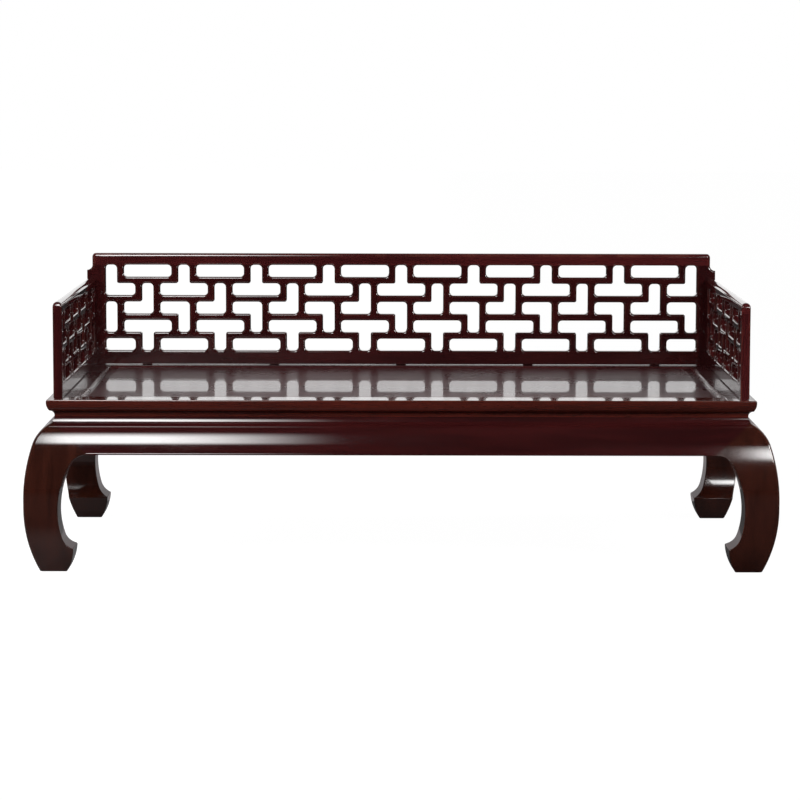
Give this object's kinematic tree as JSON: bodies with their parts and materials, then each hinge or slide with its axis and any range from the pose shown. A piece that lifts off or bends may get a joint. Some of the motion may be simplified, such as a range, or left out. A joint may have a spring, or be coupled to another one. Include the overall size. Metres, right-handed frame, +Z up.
{
  "type": "luohan daybed",
  "caption": "Low hardwood couch bed with a three-sided open lattice railing, a framed panel seat, a moulded seat frame and swelling aprons on legs with inward-turned hoof feet.",
  "frame": {"origin": "on the floor, under the middle of the bed", "axes": "+X along the length, to the right as seen from the front; +Y to the rear, where the high railing stands; +Z up"},
  "size_m": [2.1, 1.175, 0.826],
  "materials": {
    "frame_wood": "dark reddish-brown hardwood under a high-gloss lacquer",
    "panel_wood": "the same hardwood in wide boards, mirror-gloss lacquer",
    "inner_wood": "the same hardwood, planed and left bare where it doesn't show"
  },
  "bodies": {
    "root": {"apron_front": "frame_wood", "apron_left": "frame_wood", "apron_rear": "frame_wood", "apron_right": "frame_wood", "apron_tenons_long": "inner_wood", "apron_tenons_short": "inner_wood", "back_lattice_rails_1": "frame_wood", "back_lattice_rails_2": "frame_wood", "back_lattice_rails_3": "frame_wood", "back_lattice_rails_4": "frame_wood", "back_lattice_uprights_1": "frame_wood", "back_lattice_uprights_2": "frame_wood", "back_lattice_uprights_3": "frame_wood", "back_lattice_uprights_4": "frame_wood", "back_lattice_uprights_5": "frame_wood", "back_panel_bottom_rail": "frame_wood", "back_panel_keys": "inner_wood", "back_panel_stile_left": "frame_wood", "back_panel_stile_right": "frame_wood", "back_panel_top_rail": "frame_wood", "left_lattice_rails_1": "frame_wood", "left_lattice_rails_2": "frame_wood", "left_lattice_rails_3": "frame_wood", "left_lattice_uprights": "frame_wood", "left_panel_bottom_rail": "frame_wood", "left_panel_front_stile": "frame_wood", "left_panel_rear_stile": "frame_wood", "left_panel_top_rail": "frame_wood", "leg_front_left": "frame_wood", "leg_front_right": "frame_wood", "leg_rear_left": "frame_wood", "leg_rear_right": "frame_wood", "railing_corner_keys": "inner_wood", "right_lattice_rails_1": "frame_wood", "right_lattice_rails_2": "frame_wood", "right_lattice_rails_3": "frame_wood", "right_lattice_uprights": "frame_wood", "right_panel_bottom_rail": "frame_wood", "right_panel_front_stile": "frame_wood", "right_panel_rear_stile": "frame_wood", "right_panel_top_rail": "frame_wood", "seat_batten_1": "inner_wood", "seat_batten_2": "inner_wood", "seat_batten_3": "inner_wood", "seat_batten_4": "inner_wood", "seat_batten_5": "inner_wood", "seat_panel": "panel_wood", "seat_rail_front": "frame_wood", "seat_rail_left": "frame_wood", "seat_rail_rear": "frame_wood", "seat_rail_right": "frame_wood", "side_panel_keys": "inner_wood", "waist_front": "frame_wood", "waist_left": "frame_wood", "waist_rear": "frame_wood", "waist_right": "frame_wood"}
  },
  "joints": []
}
